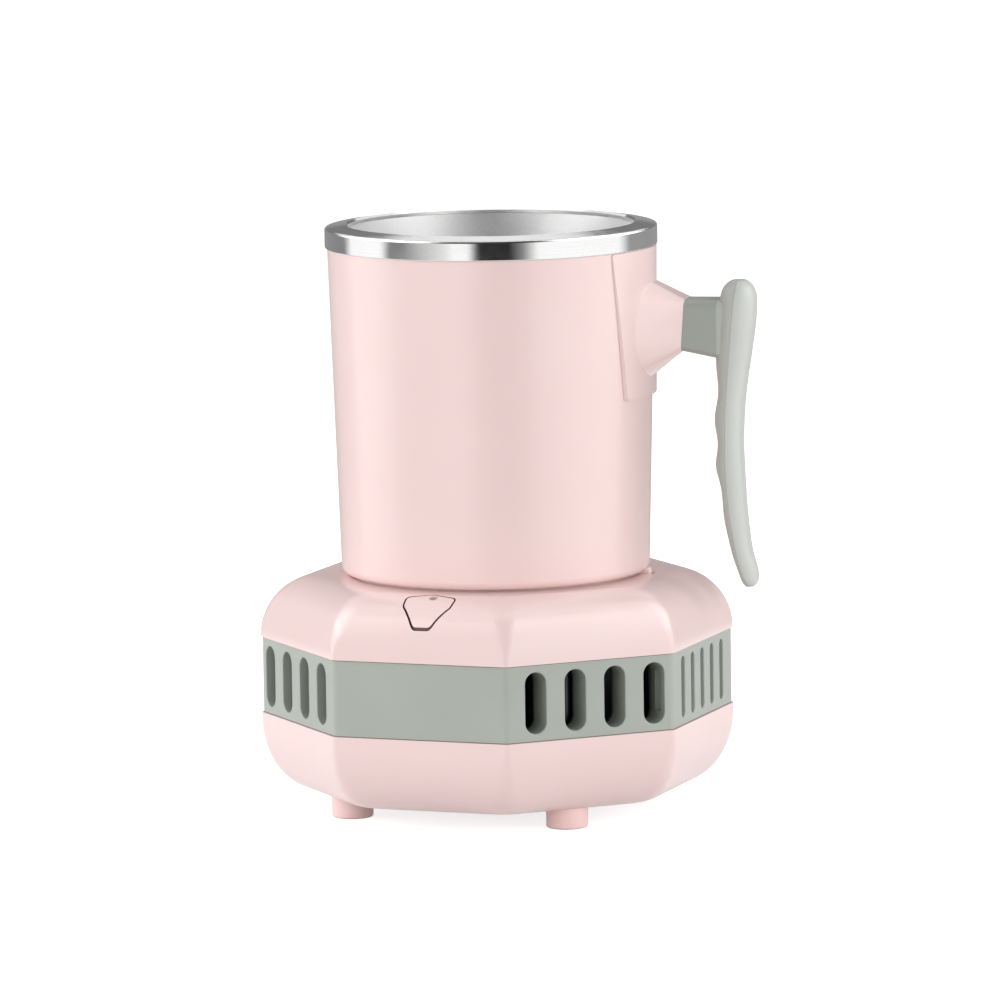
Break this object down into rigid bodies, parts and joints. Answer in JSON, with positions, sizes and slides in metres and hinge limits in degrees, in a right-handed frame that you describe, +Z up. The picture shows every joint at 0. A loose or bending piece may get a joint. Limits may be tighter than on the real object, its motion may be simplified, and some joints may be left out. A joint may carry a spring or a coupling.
{
  "type": "ice cream maker",
  "caption": "Thermoelectric cooling cup: insulated mug with a metal rim and grip handle that lifts out of a seat on an octagonal vented base with a push button.",
  "frame": {"origin": "on the vertical axis of the base and mug, on the surface that the feet stand on", "axes": "+Z up; the power button is on the -Y side, the power inlet on the +Y side, and the handle points 9.6 degrees from +X towards +Y"},
  "size_m": [0.1654, 0.1506, 0.2005],
  "materials": {
    "shell_pink": "satin moulded ABS",
    "trim_grey": "fine matt moulded ABS",
    "rim_metal": "polished",
    "liner_metal": "satin",
    "cold_metal": "machined",
    "sink_metal": "extruded",
    "screw_steel": "zinc plated",
    "seal_silicone": "matt",
    "foam": "closed cell foam",
    "module_ceramic": "matt",
    "module_pellet": "matt",
    "fan_black": "matt",
    "bearing_brass": "satin",
    "magnet": "matt",
    "board_green": "solder mask",
    "switch_black": "matt",
    "lamp_clear": "clear",
    "inlet_black": "satin",
    "lead_black": "matt"
  },
  "bodies": {
    "base": {"board_screw_1": "screw_steel", "board_screw_2": "screw_steel", "bottom_shell": "shell_pink", "case_screw_1": "screw_steel", "case_screw_2": "screw_steel", "case_screw_3": "screw_steel", "case_screw_4": "screw_steel", "cold_block": "cold_metal", "cold_plate": "cold_metal", "cold_plate_gasket": "seal_silicone", "control_board": "board_green", "fan_bearing": "bearing_brass", "fan_frame": "fan_black", "fan_lead": "lead_black", "fan_screw_1": "screw_steel", "fan_screw_2": "screw_steel", "fan_screw_3": "screw_steel", "fan_screw_4": "screw_steel", "fan_stator": "bearing_brass", "foot_1": "shell_pink", "foot_2": "shell_pink", "foot_3": "shell_pink", "foot_4": "shell_pink", "heat_sink": "sink_metal", "heat_sink_screw_1": "screw_steel", "heat_sink_screw_2": "screw_steel", "heat_sink_screw_3": "screw_steel", "heat_sink_screw_4": "screw_steel", "inlet_lead": "lead_black", "insulation_frame": "foam", "module_cold_face": "module_ceramic", "module_hot_face": "module_ceramic", "module_lead": "lead_black", "module_pellets": "module_pellet", "power_inlet": "inlet_black", "power_inlet_nut": "screw_steel", "status_lamp": "lamp_clear", "tact_switch": "switch_black", "top_shell": "shell_pink", "vent_band": "trim_grey"},
    "cup": {"bracket_screw_1": "screw_steel", "bracket_screw_2": "screw_steel", "cup_base_seal": "seal_silicone", "cup_insulation": "foam", "cup_jacket": "shell_pink", "cup_liner": "liner_metal", "handle_bracket": "shell_pink", "handle_inner_half": "trim_grey", "handle_outer_half": "trim_grey", "handle_screw": "screw_steel", "rim_ring": "rim_metal"},
    "button": {"power_button": "shell_pink", "switch_plunger": "switch_black"},
    "fan_rotor": {"fan_impeller": "fan_black", "fan_magnet": "magnet", "fan_shaft": "screw_steel"}
  },
  "joints": [
    {"name": "cup_lift", "type": "slide", "parent": "base", "child": "cup", "axis": [0, 0, 1], "range_m": [0, 0.1]},
    {"name": "button_press", "type": "slide", "parent": "base", "child": "button", "axis": [0, 0, -1], "range_m": [0, 0.0012], "stiffness_N_per_m": 1200},
    {"name": "fan_spin", "type": "hinge", "parent": "base", "child": "fan_rotor", "pos_m": [0, 0, 0.0167], "axis": [0, 0, 1], "continuous": true}
  ]
}
